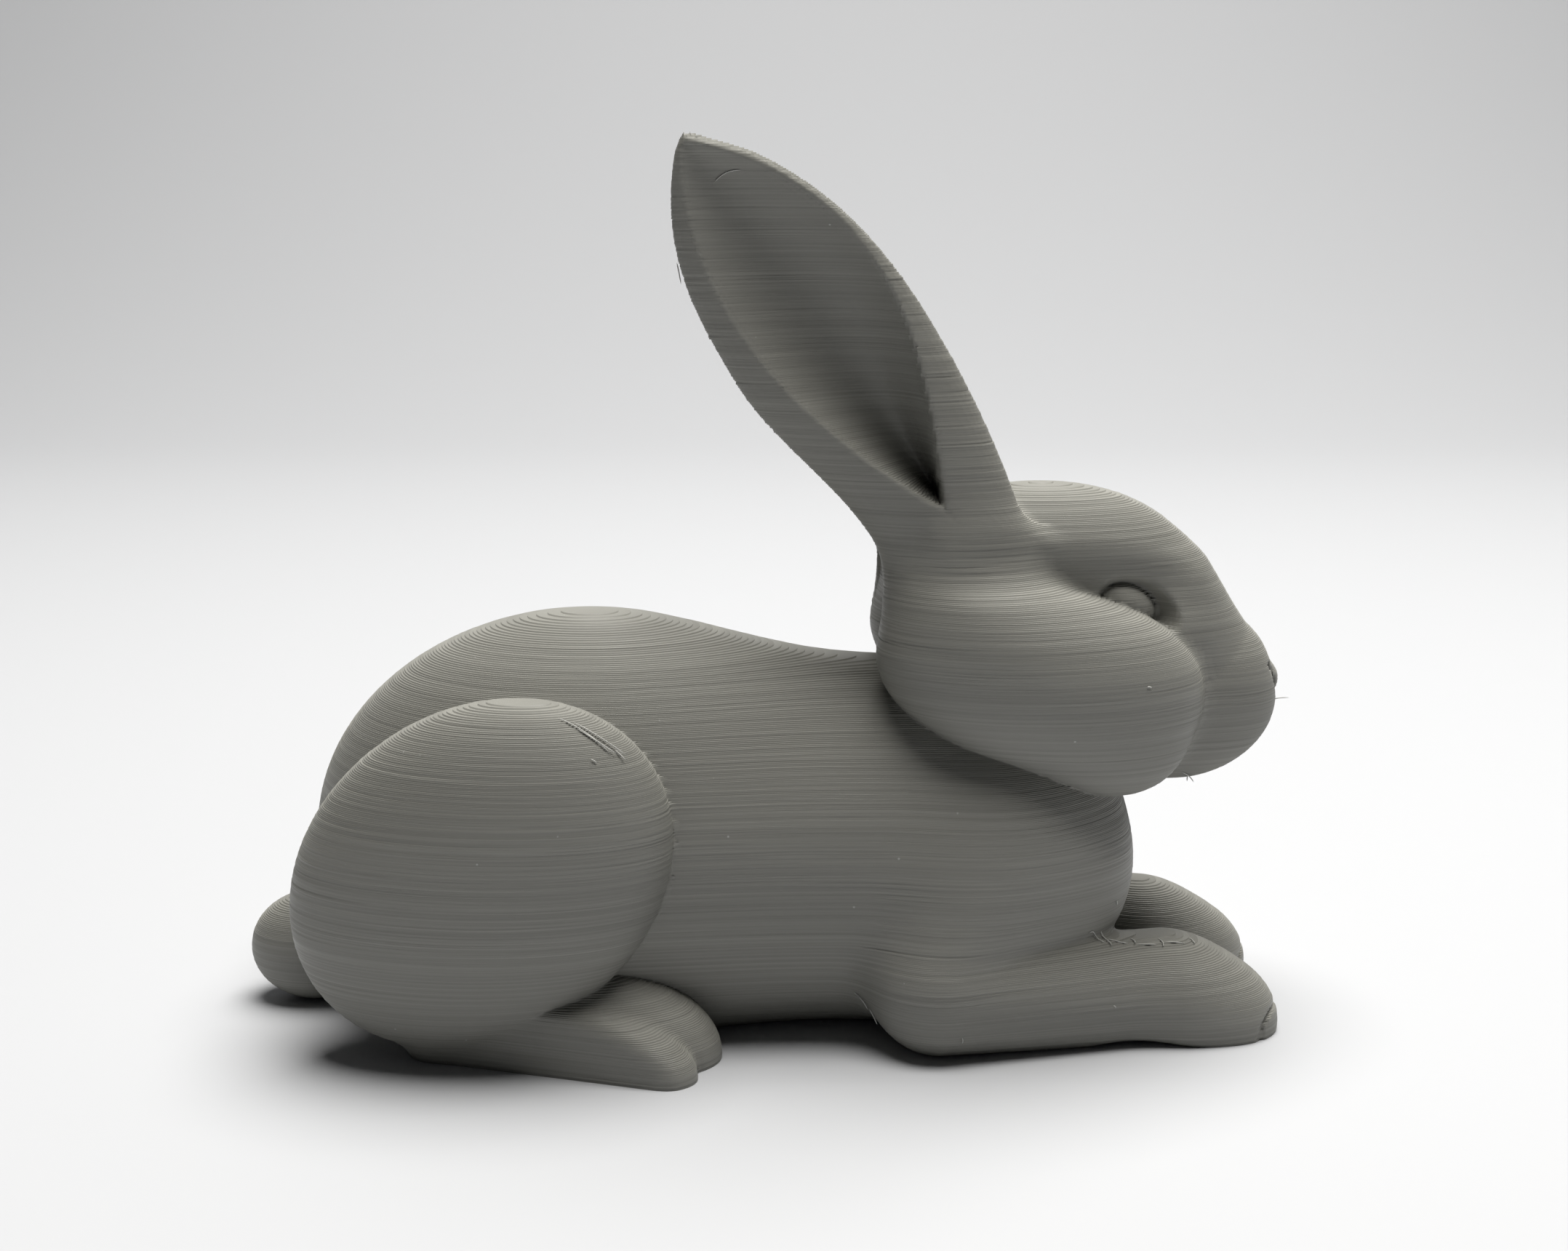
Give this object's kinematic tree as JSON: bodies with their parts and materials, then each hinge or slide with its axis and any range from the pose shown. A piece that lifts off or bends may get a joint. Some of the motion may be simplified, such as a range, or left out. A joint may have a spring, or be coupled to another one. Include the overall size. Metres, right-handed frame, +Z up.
{
  "type": "lying rabbit figurine",
  "caption": "Grey 3-D printed figurine of a lying rabbit with upright ears, forelegs stretched forward, rounded haunches and a short tail, its surface stepped by print layers.",
  "frame": {"origin": "on the floor, under the middle of the figurine's bounding box", "axes": "+X from tail to nose, +Y to the rabbit's left, +Z up"},
  "size_m": [0.1365, 0.0664, 0.1145],
  "materials": {
    "print": "layered filament print with a soft sheen"
  },
  "bodies": {
    "root": {"head": "print", "ear_left": "print", "ear_right": "print", "eye_left": "print", "eye_right": "print", "trunk": "print", "foreleg_left": "print", "foreleg_right": "print", "haunch_left": "print", "haunch_right": "print", "foot_left": "print", "foot_right": "print", "tail": "print"}
  },
  "joints": []
}
